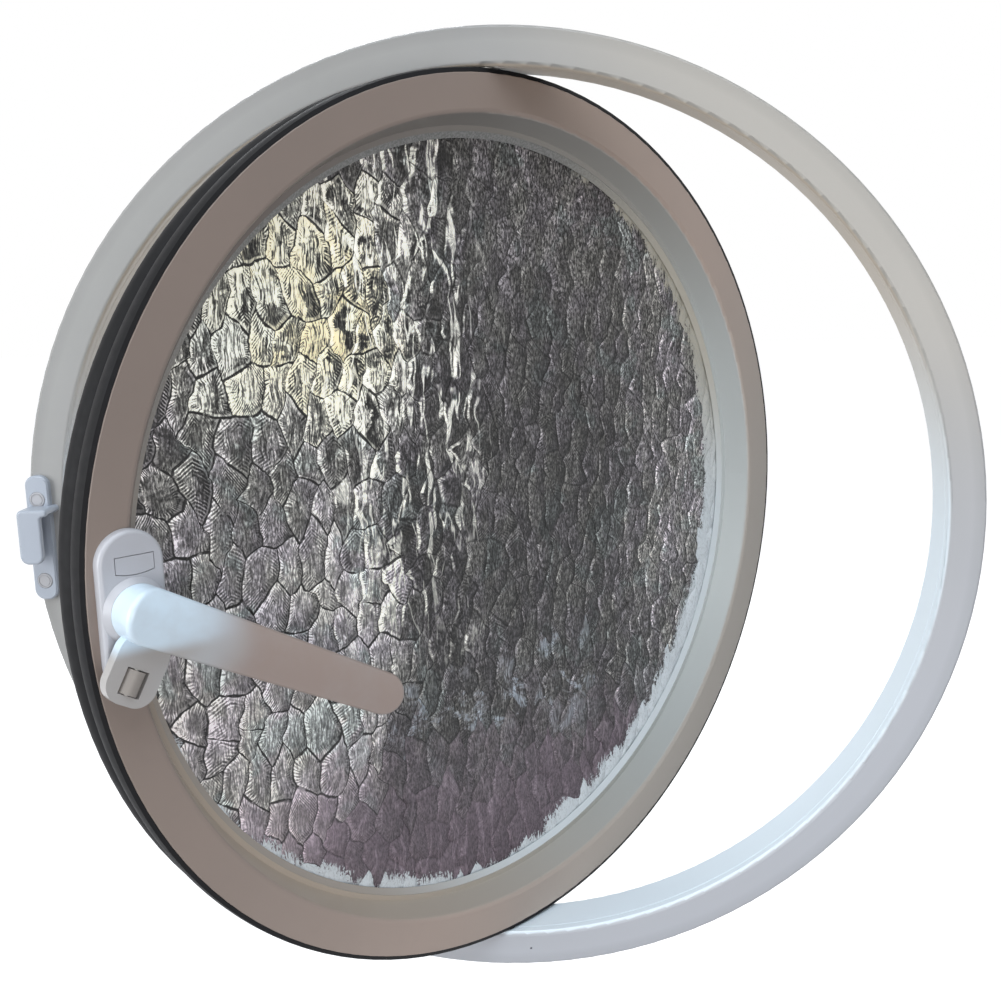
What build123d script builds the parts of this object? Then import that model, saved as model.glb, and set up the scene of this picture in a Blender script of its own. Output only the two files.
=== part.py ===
"""Round pivot window: a ring frame, a glazed sash that turns about two upright pins, a
lever handle with a roller in its nose, and the hooked keeper that the nose slides behind.

Sizes are in millimetres. +Z is up, +X is to the right seen from the room, and +Y points
outdoors. The origin is the centre of the ring, halfway through the frame's depth. The
sash is modelled part open, turned by open_angle about its pins, with the handle unlocked.
"""
import os
from math import atan2, cos, degrees, radians, sin, sqrt

from build123d import *

os.makedirs("parts", exist_ok=True)

# Frame ring, a bent channel with its open side to the wall
frame_radius = 250.0
frame_width = 19.0
frame_depth = 31.0
frame_wall = 3.0
frame_round = 2.2
frame_outer_round = 1.2
seam_setback = 6.5
seam_width = 0.6
cut_margin = 1.0
weep_radius = 0.6
weep_angle = 3.2

# Sash ring
open_angle = 45.8
sash_recess = 2.0
sash_depth = 29.0
sash_gap = 3.0
sash_face_width = 18.6
sash_edge_round = 2.5
lip_thickness = 1.4
lip_round = 0.5
rim_step = 3.5
rear_lip_step = 2.0
reveal_taper = 4.9
glass_lip_setback = 15.2
glass_lip_thickness = 1.6
glass_lip_height = 2.7

# Glass and what beds it
glass_thickness = 5.0
glass_cover = 5.2
bed_thickness = 1.0
bed_fillet = 3.2
bed_edge = 0.25
bed_setback = 1.0
bead_reach = 3.3
bead_foot = 1.2
bead_play = 0.1
bead_slope_width = 1.2
bead_slope_depth = 2.5
block_thickness = 1.5
block_arc_angle = 8.0
block_angle = 33.0

# Gaskets in the rim
foot_width = 4.0
foot_depth = 3.0
foot_play = 0.15
bulb_space = 0.6
bulb_clearance = 0.45
nib_play = 0.1
nib_setback = 0.3
nib_height = 0.6

# Pivots
pivot_setback = 8.0
pivot_radius = 3.0
pivot_play = 0.05
pivot_seat = 11.0
pivot_reach = 8.5
shoulder_radius = 3.8
shoulder_gap = 0.3
shoulder_play = 0.2
pin_chamfer = 0.6
gasket_hole_play = 0.4
bush_radius = 4.5
bush_length = 12.0
block_length = 40.0
block_height = 13.0
block_play = 0.2
block_screw_radius = 2.0
block_screw_head = 3.7
block_screw_play = 0.2
block_screw_length = 11.0
block_screw_angle = 4.0
block_screw_inset = 7.0

# Handle base on the sash
base_width = 29.0
base_length = 69.6
base_drop = 0.6
base_thickness = 5.0
base_round = 2.0
boss_radius = 14.4
boss_height = 3.0
base_screw_rise = 21.5
base_screw_offset = 4.5
screw_radius = 2.0
screw_head = 3.6
screw_length = 13.0
screw_play = 0.1
plug_width = 17.4
plug_height = 7.2
plug_bulge = 1.2
plug_depth = 2.2
plug_gap = 0.3
plug_rise = 20.0
plug_shift = 1.2

# Lever, with its hub, arm and nose in one casting
spindle_radius = 4.0
spindle_length = 19.0
spindle_play = 0.06
spindle_recess = 0.5
spindle_end_gap = 0.3
washer_radius = 8.5
washer_thickness = 0.8
washer_play = 0.3
lever_gap = 0.3
nose_thickness = 5.5
hub_radius = 12.2
hub_cover = 4.5
nose_angle = -105.8
nose_length = 28.2
nose_width = 23.2
nose_reach = 9.8
nose_corner = 8.6
tongue_angle = -120.0
tongue_length = 20.0
arm_angle = -30.0
arm_length = 137.0
arm_tip_radius = 10.0
arm_thickness = 11.0
arm_rise = 2.0
arm_crown_radius = 20.0
arm_top_round = 2.6
arm_under_round = 2.4
arm_bury = 0.6

# Roller in the nose
roller_radius = 4.5
roller_length = 10.4
roller_side_gap = 0.6
roller_end_gap = 0.5
roller_play = 0.06
roller_pin_radius = 1.5
roller_pin_grip = 2.8

# Keeper on the frame
keeper_inset = 6.6
keeper_width = 12.6
keeper_length = 67.6
keeper_drop = 1.8
keeper_plate = 3.8
keeper_corner = 5.5
keeper_chamfer = 0.8
keeper_floor = 0.8
hook_inset = 6.3
hook_width = 12.6
hook_length = 29.2
hook_rise = 1.3
hook_brow_width = 3.7
hook_brow_height = 3.7
hook_roof = 2.6
hook_wall = 2.4
hook_round = 1.4
hook_corner = 3.0
hook_foot_corner = 4.6
hook_brow_corner = 1.75
hook_hollow_corner = 1.85
hook_clearance = 0.45
keeper_screw_rise = 22.1
keeper_screw_centre = -2.9
cap_radius = 4.1
cap_height = 1.5
cap_play = 0.15
cap_proud = 0.4
cap_chamfer = 0.35
cap_ring_radius = 3.2
cap_ring_width = 0.4
cap_ring_depth = 0.35

# Places that follow from the sizes above
front_y = -frame_depth / 2
reveal_radius = frame_radius - frame_width
channel_radius = reveal_radius + frame_wall
sash_radius = reveal_radius - sash_gap
sash_inner = sash_radius - sash_face_width
handle_offset = sash_inner
keeper_offset = frame_radius - keeper_inset
rim_radius = sash_radius - rim_step
pivot_y = front_y + pivot_setback
axis_depth = pivot_setback - sash_recess
head_slope = block_screw_head - block_screw_radius
turn = radians(open_angle)
across = (cos(turn), sin(turn), 0)
roomward = (sin(turn), -cos(turn), 0)

frame_face = Plane(origin=(0, front_y, 0), x_dir=(1, 0, 0), z_dir=(0, -1, 0))
frame_back = Plane(origin=(0, frame_depth / 2, 0), x_dir=(1, 0, 0), z_dir=(0, 1, 0))
block_screws = PolarLocations(
    channel_radius + block_screw_inset, 2, start_angle=90 - block_screw_angle
).locations + PolarLocations(
    channel_radius + block_screw_inset, 2, start_angle=90 + block_screw_angle
).locations
sash_centre = (axis_depth * sin(turn), pivot_y - axis_depth * cos(turn), 0)
sash_face = Plane(origin=sash_centre, x_dir=across, z_dir=roomward)
frame_axis = Axis((0, 0, 0), (0, 1, 0))
sash_axis = Axis(sash_centre, roomward)

# The section planes hold a ring's profile: local X is the radius, local Y is towards the room
frame_section = Plane(origin=(0, front_y, 0), x_dir=(1, 0, 0), z_dir=(0, 0, -1))
sash_section = Plane(origin=sash_centre, x_dir=across, z_dir=(0, 0, -1))


def save(piece, name):
    """Label one finished piece and write it to its own file."""
    piece.part.label = name
    export_step(piece.part, f"parts/{name}.step")


def swept_limit(near, far):
    """Largest radius that clears the reveal as the sash turns, between two depths."""
    reach = max(abs(near - axis_depth), abs(far - axis_depth))
    return sqrt(reveal_radius**2 - reach**2) - bulb_clearance


def radial_plane(angle, radius, depth):
    """Plane across a radius of the ring, with its normal outwards; angle is from the top."""
    out = (sin(radians(angle)), 0, cos(radians(angle)))
    return Plane(origin=(radius * out[0], depth, radius * out[2]), x_dir=(0, 1, 0), z_dir=out)


def rounded_outline(*corners):
    """Filled outline from corners given as radius, height and the corner's own rounding."""
    points = [corner[:2] for corner in corners]
    with BuildSketch() as outline:
        with BuildLine():
            FilletPolyline(*points, radius=[corner[2] for corner in corners], close=True)
        make_face()
    return outline.sketch


# Frame ring: channel section with rounded front corners and a seam line in the reveal
with BuildPart() as frame_ring:
    with BuildSketch(frame_section):
        add(
            rounded_outline(
                (reveal_radius, 0, frame_round),
                (frame_radius, 0, frame_outer_round),
                (frame_radius, -frame_wall, 0),
                (channel_radius, -frame_wall, 0),
                (channel_radius, -frame_depth + frame_wall, 0),
                (frame_radius, -frame_depth + frame_wall, 0),
                (frame_radius, -frame_depth, 0),
                (reveal_radius, -frame_depth, frame_outer_round),
                (reveal_radius, -seam_setback - seam_width, 0),
                (reveal_radius + seam_width, -seam_setback - seam_width / 2, 0),
                (reveal_radius, -seam_setback, 0),
            )
        )
    revolve(axis=frame_axis)
    for side in (0, 180):
        with BuildSketch(radial_plane(side, reveal_radius - frame_wall, pivot_y)):
            Circle(bush_radius)
        extrude(amount=3 * frame_wall, mode=Mode.SUBTRACT)
    with BuildSketch(frame_back):
        with Locations(*block_screws):
            Circle(block_screw_radius)
    extrude(amount=-frame_wall, mode=Mode.SUBTRACT)
    with BuildSketch(frame_back):
        with Locations(*block_screws):
            Circle(block_screw_head)
    extrude(amount=-head_slope, taper=45, mode=Mode.SUBTRACT)
    for rise in (-keeper_screw_rise, keeper_screw_rise):
        with BuildSketch(frame_face):
            with Locations((-keeper_offset, keeper_screw_centre + rise)):
                Circle(screw_radius)
        extrude(amount=-frame_wall, mode=Mode.SUBTRACT)
    with BuildSketch(frame_face):
        with PolarLocations(frame_radius - frame_width / 2, 1, start_angle=weep_angle - 90):
            Circle(weep_radius)
    extrude(amount=-frame_wall, mode=Mode.SUBTRACT)
save(frame_ring, "frame_ring")

# Pivot blocks, bushes and screws, at the top and the bottom of the frame
for name, side in (("top", 0), ("bottom", 180)):
    with BuildPart() as pivot_block:
        with BuildSketch(radial_plane(side, channel_radius - cut_margin, 0)):
            Rectangle(frame_depth - 2 * frame_wall - 2 * block_play, block_length)
        extrude(amount=block_height + cut_margin)
        with BuildSketch(Plane.XZ.offset(-frame_depth)):
            Circle(channel_radius)
        extrude(amount=2 * frame_depth, mode=Mode.SUBTRACT)
        with BuildSketch(radial_plane(side, channel_radius - frame_wall, pivot_y)):
            Circle(bush_radius)
        extrude(amount=block_height + 2 * frame_wall, mode=Mode.SUBTRACT)
        with BuildSketch(frame_back):
            with Locations(*block_screws):
                Circle(block_screw_radius)
        extrude(amount=-block_screw_length, mode=Mode.SUBTRACT)
    save(pivot_block, f"pivot_block_{name}")

    with BuildPart() as pivot_bush:
        with BuildSketch(radial_plane(side, reveal_radius, pivot_y)):
            Circle(bush_radius)
            Circle(pivot_radius + pivot_play, mode=Mode.SUBTRACT)
        extrude(amount=bush_length)
        with BuildSketch(Plane.XZ.offset(-frame_depth)):
            Circle(reveal_radius)
        extrude(amount=2 * frame_depth, mode=Mode.SUBTRACT)
    save(pivot_bush, f"pivot_bush_{name}")

with BuildPart() as pivot_screws:
    with BuildSketch(frame_back.offset(-block_screw_play)):
        with Locations(*block_screws):
            Circle(block_screw_head - block_screw_play)
    extrude(amount=block_screw_play - head_slope, taper=45)
    with BuildSketch(frame_back.offset(-cut_margin)):
        with Locations(*block_screws):
            Circle(block_screw_radius)
    extrude(amount=cut_margin - block_screw_length)
save(pivot_screws, "pivot_screws")

# Keeper: a plate with a hook that is open towards the sash and downwards
nose_middle = base_thickness + boss_height + lever_gap + nose_thickness / 2
hook_inside = nose_middle - sash_recess + roller_radius + hook_clearance
hook_top = hook_rise + hook_length / 2
hook_bottom = hook_rise - hook_length / 2
hook_left = -frame_radius + hook_inset - hook_width / 2
hook_right = hook_left + hook_width
with BuildPart() as keeper:
    with BuildSketch(frame_face):
        with Locations((-keeper_offset, -keeper_drop)):
            RectangleRounded(keeper_width, keeper_length, keeper_corner)
    extrude(amount=keeper_plate)
    chamfer(keeper.faces().sort_by(Axis.Y)[0].edges(), keeper_chamfer)
    with BuildSketch(frame_face):
        add(
            rounded_outline(
                (hook_left, hook_top, hook_corner),
                (hook_left, hook_bottom, hook_foot_corner),
                (hook_right, hook_bottom, hook_foot_corner),
                (hook_right, hook_top - hook_brow_height, hook_hollow_corner),
                (hook_right + hook_brow_width, hook_top - hook_brow_height, hook_brow_corner),
                (hook_right + hook_brow_width, hook_top, hook_brow_corner),
            )
        )
    extrude(amount=hook_inside + hook_roof)
    fillet(keeper.faces().sort_by(Axis.Y)[0].edges(), hook_round)
    with BuildSketch(frame_face.offset(keeper_plate)):
        with Locations((hook_left + hook_wall, hook_top - hook_wall)):
            Rectangle(2 * hook_width, 2 * hook_length, align=(Align.MIN, Align.MAX))
    extrude(amount=hook_inside - keeper_plate, mode=Mode.SUBTRACT)
    for rise in (-keeper_screw_rise, keeper_screw_rise):
        with BuildSketch(frame_face):
            with Locations((-keeper_offset, keeper_screw_centre + rise)):
                Circle(screw_radius)
        extrude(amount=keeper_plate, mode=Mode.SUBTRACT)
        with BuildSketch(frame_face.offset(keeper_floor)):
            with Locations((-keeper_offset, keeper_screw_centre + rise)):
                Circle(cap_radius + cap_play)
        extrude(amount=keeper_plate, mode=Mode.SUBTRACT)
save(keeper, "keeper")

with BuildPart() as keeper_screws:
    for rise in (-keeper_screw_rise, keeper_screw_rise):
        with BuildSketch(frame_face.offset(keeper_floor)):
            with Locations((-keeper_offset, keeper_screw_centre + rise)):
                Circle(screw_head)
        extrude(amount=keeper_plate + cap_proud - cap_height - keeper_floor)
        with BuildSketch(frame_face.offset(keeper_floor)):
            with Locations((-keeper_offset, keeper_screw_centre + rise)):
                Circle(screw_radius)
        extrude(amount=-screw_length)
save(keeper_screws, "keeper_screws")

with BuildPart() as keeper_caps:
    for rise in (-keeper_screw_rise, keeper_screw_rise):
        with BuildSketch(frame_face.offset(keeper_plate + cap_proud - cap_height)):
            with Locations((-keeper_offset, keeper_screw_centre + rise)):
                Circle(cap_radius)
        extrude(amount=cap_height)
    chamfer(keeper_caps.faces().filter_by(Axis.Y).group_by(Axis.Y)[0].edges(), cap_chamfer)
    for rise in (-keeper_screw_rise, keeper_screw_rise):
        with BuildSketch(frame_face.offset(keeper_plate + cap_proud)):
            with Locations((-keeper_offset, keeper_screw_centre + rise)):
                Circle(cap_ring_radius)
                Circle(cap_ring_radius - cap_ring_width, mode=Mode.SUBTRACT)
        extrude(amount=-cap_ring_depth, mode=Mode.SUBTRACT)
save(keeper_caps, "keeper_caps")

# Sash ring: flat face, tapered reveal, lip for the glass, and a rim with two gasket grooves
foot_front = lip_thickness + (sash_depth - 2 * lip_thickness) / 4
foot_rear = sash_depth - foot_front
groove = rim_radius - foot_depth
pocket_front = glass_lip_setback + glass_lip_thickness
lip_inner = sash_inner - reveal_taper - glass_lip_height
glass_radius = lip_inner + glass_cover
pocket_radius = glass_radius + block_thickness
glass_front = pocket_front + bed_thickness
glass_back = glass_front + glass_thickness
bead_front = glass_back + bed_thickness
with BuildPart() as sash_ring:
    with BuildSketch(sash_section):
        add(
            rounded_outline(
                (sash_inner, 0, sash_edge_round),
                (sash_radius, 0, lip_round),
                (sash_radius, -lip_thickness, 0),
                (rim_radius, -lip_thickness, 0),
                (rim_radius, -foot_front + foot_width / 2, 0),
                (groove, -foot_front + foot_width / 2, 0),
                (groove, -foot_front - foot_width / 2, 0),
                (rim_radius, -foot_front - foot_width / 2, 0),
                (rim_radius, -foot_rear + foot_width / 2, 0),
                (groove, -foot_rear + foot_width / 2, 0),
                (groove, -foot_rear - foot_width / 2, 0),
                (rim_radius, -foot_rear - foot_width / 2, 0),
                (rim_radius, -sash_depth + lip_thickness, 0),
                (rim_radius + rear_lip_step, -sash_depth + lip_thickness, 0),
                (rim_radius + rear_lip_step, -sash_depth, 0),
                (pocket_radius, -sash_depth, 0),
                (pocket_radius, -bead_front - 2 * bead_foot, 0),
                (pocket_radius + bead_foot, -bead_front - 2 * bead_foot, 0),
                (pocket_radius + bead_foot, -bead_front - bead_foot, 0),
                (pocket_radius, -bead_front, 0),
                (pocket_radius, -pocket_front, 0),
                (lip_inner, -pocket_front, 0),
                (lip_inner, -glass_lip_setback, 0),
                (lip_inner + glass_lip_height, -glass_lip_setback, 0),
            )
        )
    revolve(axis=sash_axis)
    for side in (0, 180):
        with BuildSketch(radial_plane(side, rim_radius - pivot_seat, pivot_y)):
            Circle(pivot_radius)
        extrude(amount=pivot_seat + rim_step, mode=Mode.SUBTRACT)
        with BuildSketch(radial_plane(side, rim_radius, pivot_y)):
            Circle(shoulder_radius + shoulder_play)
        extrude(amount=2 * rim_step, mode=Mode.SUBTRACT)
    for rise in (-base_screw_rise, base_screw_rise):
        with BuildSketch(sash_face):
            with Locations((-handle_offset - base_screw_offset, rise)):
                Circle(screw_radius)
        extrude(amount=-(screw_length - base_thickness + plug_depth), mode=Mode.SUBTRACT)
save(sash_ring, "sash_ring")

# Pivot pins: pressed into the sash, with a shoulder in the gap and a journal in the bush
for name, side in (("top", 0), ("bottom", 180)):
    with BuildPart() as pivot_pin:
        with BuildSketch(radial_plane(side, rim_radius - pivot_seat, pivot_y)):
            Circle(pivot_radius)
        extrude(amount=pivot_seat + reveal_radius - rim_radius + pivot_reach)
        with BuildSketch(radial_plane(side, rim_radius, pivot_y)):
            Circle(shoulder_radius)
        extrude(amount=reveal_radius - rim_radius - shoulder_gap)
        outer_end = -1 if side == 0 else 0
        chamfer(pivot_pin.faces().filter_by(Axis.Z).sort_by(Axis.Z)[outer_end].edges(), pin_chamfer)
    save(pivot_pin, f"pivot_pin_{name}")


def gasket_profile(foot_middle, band_start, band_end, nose):
    """A bulb with a shallow crown over its foot, inside the radius that clears the reveal.

    The nose is the bulb's front edge: its outer and inner corner, as radius and height.
    """
    crest = swept_limit(band_start, band_end)
    foot_half = foot_width / 2 - foot_play
    foot_end = rim_radius - foot_depth + foot_play
    tail = ((crest + rim_radius) / 2, -band_end)
    with BuildSketch() as profile:
        with BuildLine():
            Polyline(
                *nose,
                (rim_radius, -band_start),
                (rim_radius, -foot_middle + foot_half),
                (foot_end, -foot_middle + foot_half),
                (foot_end, -foot_middle - foot_half),
                (rim_radius, -foot_middle - foot_half),
                (rim_radius, -band_end),
                tail,
            )
            ThreePointArc(tail, (crest, -(band_start + band_end) / 2), nose[0])
        make_face()
    return profile.sketch


# Gaskets: two rubber bulbs side by side round the rim, the front one holed for the pivots
# and wrapped round the edge of the sash face
half_rim = sash_depth / 2
rear_start = half_rim + bulb_space / 2
front_crest = swept_limit(nib_setback, half_rim)
rear_waist = (swept_limit(rear_start, sash_depth - lip_thickness) + rim_radius) / 2
front_nose = (
    (front_crest - nib_height / 2, -nib_setback - nib_height),
    (sash_radius + nib_play, -nib_setback),
    (sash_radius + nib_play, -lip_thickness),
)
for name, foot, band_start, band_end, nose in (
    ("front", foot_front, lip_thickness, half_rim - bulb_space / 2, front_nose),
    ("rear", foot_rear, rear_start, sash_depth - lip_thickness, ((rear_waist, -rear_start),)),
):
    with BuildPart() as gasket:
        with BuildSketch(sash_section):
            add(gasket_profile(foot, band_start, band_end, nose))
        revolve(axis=sash_axis)
        for side in (0, 180):
            with BuildSketch(radial_plane(side, groove - cut_margin, pivot_y)):
                Circle(shoulder_radius + gasket_hole_play)
            extrude(amount=4 * rim_step, mode=Mode.SUBTRACT)
    save(gasket, f"gasket_{name}")

# Glass pane
with BuildPart() as glass_pane:
    with BuildSketch(sash_face.offset(-glass_front)):
        Circle(glass_radius)
    extrude(amount=-glass_thickness)
save(glass_pane, "glass_pane")

# Setting blocks under the glass edge
for name, start in (("left", -90 - block_angle), ("right", -90 + block_angle)):
    start_angle = radians(start - block_arc_angle / 2)
    out = (
        cos(start_angle) * across[0],
        cos(start_angle) * across[1],
        sin(start_angle),
    )
    edge_plane = Plane(origin=sash_centre, x_dir=out, z_dir=Vector(*out).cross(Vector(*roomward)))
    with BuildPart() as setting_block:
        with BuildSketch(edge_plane):
            with Locations((glass_radius, -glass_front)):
                Rectangle(block_thickness, glass_thickness, align=(Align.MIN, Align.MAX))
        revolve(axis=sash_axis, revolution_arc=block_arc_angle)
    save(setting_block, f"setting_block_{name}")

# Sealant: a bed with a fillet in front of the glass, a flat bed behind it
with BuildPart() as sealant_front:
    with BuildSketch(sash_section):
        with BuildLine():
            Polyline(
                (glass_radius, -pocket_front),
                (lip_inner, -pocket_front),
                (lip_inner, -glass_lip_setback - glass_lip_thickness / 3),
                (lip_inner - bed_fillet, -glass_front + bed_edge),
                (lip_inner - bed_fillet, -glass_front),
                (glass_radius, -glass_front),
                close=True,
            )
        make_face()
    revolve(axis=sash_axis)
save(sealant_front, "sealant_front")

with BuildPart() as sealant_rear:
    with BuildSketch(sash_section):
        with BuildLine():
            Polyline(
                (glass_radius, -glass_back),
                (lip_inner - bead_reach + bed_setback, -glass_back),
                (lip_inner - bead_reach + bed_setback, -bead_front),
                (glass_radius, -bead_front),
                close=True,
            )
        make_face()
    revolve(axis=sash_axis)
save(sealant_rear, "sealant_rear")

# Glazing bead: snaps into the back of the sash and holds the glass
bead_edge = pocket_radius - bead_play
with BuildPart() as glazing_bead:
    with BuildSketch(sash_section):
        with BuildLine():
            Polyline(
                (lip_inner - bead_reach, -bead_front),
                (bead_edge, -bead_front),
                (bead_edge + bead_foot, -bead_front - bead_foot - bead_play),
                (bead_edge + bead_foot, -bead_front - 2 * bead_foot + bead_play),
                (bead_edge, -bead_front - 2 * bead_foot + bead_play),
                (bead_edge, -sash_depth),
                (lip_inner - bead_reach + bead_slope_width, -sash_depth),
                (lip_inner - bead_reach, -sash_depth + bead_slope_depth),
                close=True,
            )
        make_face()
    revolve(axis=sash_axis)
save(glazing_bead, "glazing_bead")

# Handle base: a slotted plate with a boss for the hub and a recess for the screw plug
handle_place = Location((-handle_offset, 0))
boss_taper = degrees(atan2(boss_radius - hub_radius, boss_height))


def plug_outline(gap):
    """The screw plug's outline, straight above and bulging below, shrunk by a gap."""
    half = plug_width / 2 - gap
    top = plug_rise + plug_height / 2 - gap
    low = plug_rise - plug_height / 2 + gap
    with BuildSketch() as outline:
        with BuildLine():
            Polyline((-half, low), (-half, top), (half, top), (half, low))
            ThreePointArc((half, low), (0, low - plug_bulge), (-half, low))
        make_face()
    return outline.sketch.moved(Location((plug_shift - handle_offset, 0)))


with BuildPart() as handle_base:
    with BuildSketch(sash_face):
        with Locations((-handle_offset, -base_drop)):
            SlotOverall(base_length, base_width, rotation=90)
    extrude(amount=base_thickness)
    over = sash_face.from_local_coords((-handle_offset, 0, base_length))
    top_face = handle_base.faces().sort_by_distance(over)[0]
    fillet(top_face.edges(), base_round)
    with BuildSketch(sash_face.offset(base_thickness)):
        with Locations(handle_place):
            Circle(boss_radius)
    extrude(amount=boss_height, taper=boss_taper)
    with BuildSketch(sash_face):
        with Locations(handle_place):
            Circle(spindle_radius)
    extrude(amount=base_thickness + boss_height, mode=Mode.SUBTRACT)
    with BuildSketch(sash_face.offset(base_thickness)):
        add(plug_outline(0))
    extrude(amount=-plug_depth, mode=Mode.SUBTRACT)
    for rise in (-base_screw_rise, base_screw_rise):
        with BuildSketch(sash_face):
            with Locations((-handle_offset - base_screw_offset, rise)):
                Circle(screw_radius)
        extrude(amount=base_thickness, mode=Mode.SUBTRACT)
        with BuildSketch(sash_face.offset(base_thickness - plug_depth)):
            with Locations((-handle_offset - base_screw_offset, rise)):
                Circle(screw_head)
        extrude(amount=-(screw_head - screw_radius), taper=45, mode=Mode.SUBTRACT)
    with BuildSketch(sash_face.offset(base_thickness - plug_depth)):
        with Locations((-handle_offset - base_screw_offset, -base_screw_rise)):
            Circle(screw_head)
    extrude(amount=plug_depth, mode=Mode.SUBTRACT)
save(handle_base, "handle_base")

with BuildPart() as handle_screws:
    for rise in (-base_screw_rise, base_screw_rise):
        with BuildSketch(sash_face.offset(base_thickness - plug_depth)):
            with Locations((-handle_offset - base_screw_offset, rise)):
                Circle(screw_head - screw_play)
        extrude(amount=-(screw_head - screw_radius), taper=45)
        with BuildSketch(sash_face.offset(base_thickness - plug_depth)):
            with Locations((-handle_offset - base_screw_offset, rise)):
                Circle(screw_radius)
        extrude(amount=-screw_length)
save(handle_screws, "handle_screws")

with BuildPart() as screw_plug:
    with BuildSketch(sash_face.offset(base_thickness - plug_depth)):
        add(plug_outline(plug_gap))
    extrude(amount=plug_depth)
save(screw_plug, "screw_plug")

# Spindle, fixed in the base, and the friction washer that the hub turns on
with BuildPart() as handle_spindle:
    with BuildSketch(sash_face.offset(spindle_recess)):
        with Locations(handle_place):
            Circle(spindle_radius)
    extrude(amount=spindle_length)
save(handle_spindle, "handle_spindle")

boss_top = base_thickness + boss_height
with BuildPart() as friction_washer:
    with BuildSketch(sash_face.offset(boss_top)):
        with Locations(handle_place):
            Circle(washer_radius)
            Circle(spindle_radius + washer_play, mode=Mode.SUBTRACT)
    extrude(amount=washer_thickness)
save(friction_washer, "friction_washer")

# Lever: collar and nose in one layer, with the hub and the arm above them
nose_base = boss_top + lever_gap
nose_end = (
    -handle_offset + nose_length * cos(radians(nose_angle)),
    nose_length * sin(radians(nose_angle)),
)
tongue = (cos(radians(tongue_angle)), sin(radians(tongue_angle)))
tongue_middle = (nose_reach - tongue_length) / 2
window_width = 2 * (roller_radius + roller_side_gap)
window_length = roller_length + 2 * roller_end_gap
nose_top = nose_base + nose_thickness
arm_along = (
    cos(radians(arm_angle)) * across[0],
    cos(radians(arm_angle)) * across[1],
    sin(radians(arm_angle)),
)
arm_start = sash_face.from_local_coords((-handle_offset, 0, nose_top - arm_bury))
arm_plane = Plane(origin=arm_start, x_dir=arm_along, z_dir=roomward).rotated((0, -arm_rise, 0))
with BuildPart() as lever:
    with BuildSketch(arm_plane):
        Circle(hub_radius)
        with Locations((arm_length - arm_tip_radius, 0)):
            Circle(arm_tip_radius)
        make_hull()
    extrude(amount=arm_thickness)
    crown_plane = Plane(origin=arm_plane.origin, x_dir=arm_plane.y_dir, z_dir=arm_plane.x_dir)
    with BuildSketch(crown_plane.offset(-2 * hub_radius)):
        with Locations((0, arm_thickness - arm_crown_radius)):
            Circle(arm_crown_radius)
    extrude(amount=2 * arm_length, mode=Mode.INTERSECT)
    over = arm_plane.offset(arm_length).origin
    top_face = lever.faces().sort_by_distance(over)[0]
    fillet(top_face.edges(), arm_top_round)
    under = arm_plane.offset(-arm_length).origin
    bottom_face = lever.faces().sort_by_distance(under)[0]
    fillet(bottom_face.edges(), arm_under_round)
    with BuildSketch(sash_face.offset(nose_base)):
        with Locations((-handle_offset, 0)):
            Circle(hub_radius)
    extrude(amount=nose_thickness + hub_cover)
    with BuildSketch(sash_face.offset(nose_base)):
        with Locations(Location(nose_end, tongue_angle)):
            with Locations((tongue_middle, 0)):
                RectangleRounded(nose_reach + tongue_length, nose_width, nose_corner)
    extrude(amount=nose_thickness)
    with BuildSketch(sash_face.offset(nose_base)):
        with Locations(Location(nose_end, tongue_angle)):
            Rectangle(window_length, window_width)
    extrude(amount=nose_thickness, mode=Mode.SUBTRACT)
    with BuildSketch(sash_face.offset(nose_base)):
        with Locations((-handle_offset, 0)):
            Circle(spindle_radius + spindle_play)
    extrude(amount=spindle_recess + spindle_length + spindle_end_gap - nose_base, mode=Mode.SUBTRACT)
    with BuildSketch(sash_face.offset(nose_base)):
        with Locations((-handle_offset, 0)):
            Circle(washer_radius + lever_gap)
    extrude(amount=washer_thickness, mode=Mode.SUBTRACT)
    pin_reach = window_length / 2 + roller_pin_grip
    pin_out = (tongue[0] * across[0], tongue[0] * across[1], tongue[1])
    pin_middle = sash_face.from_local_coords((nose_end[0], nose_end[1], nose_middle))
    pin_plane = Plane(origin=pin_middle, x_dir=roomward, z_dir=pin_out)
    with BuildSketch(pin_plane.offset(-pin_reach)):
        Circle(roller_pin_radius)
    extrude(amount=2 * pin_reach, mode=Mode.SUBTRACT)
save(lever, "lever")

with BuildPart() as roller_pin:
    with BuildSketch(pin_plane.offset(-pin_reach)):
        Circle(roller_pin_radius)
    extrude(amount=2 * pin_reach)
save(roller_pin, "roller_pin")

with BuildPart() as roller:
    with BuildSketch(pin_plane.offset(-roller_length / 2)):
        Circle(roller_radius)
        Circle(roller_pin_radius + roller_play, mode=Mode.SUBTRACT)
    extrude(amount=roller_length)
save(roller, "roller")
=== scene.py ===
"""Looks for the round window: camera, stage, and a material for every piece.

Everything is in metres, in the CAD model's own frame: +Z up, +Y outdoors, origin at the
centre of the ring. The sash is turned by OPEN about its upright pins.
"""
from math import cos, radians, sin

import bmesh
import bpy
import numpy as np
from mathutils import Matrix, Vector


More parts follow.
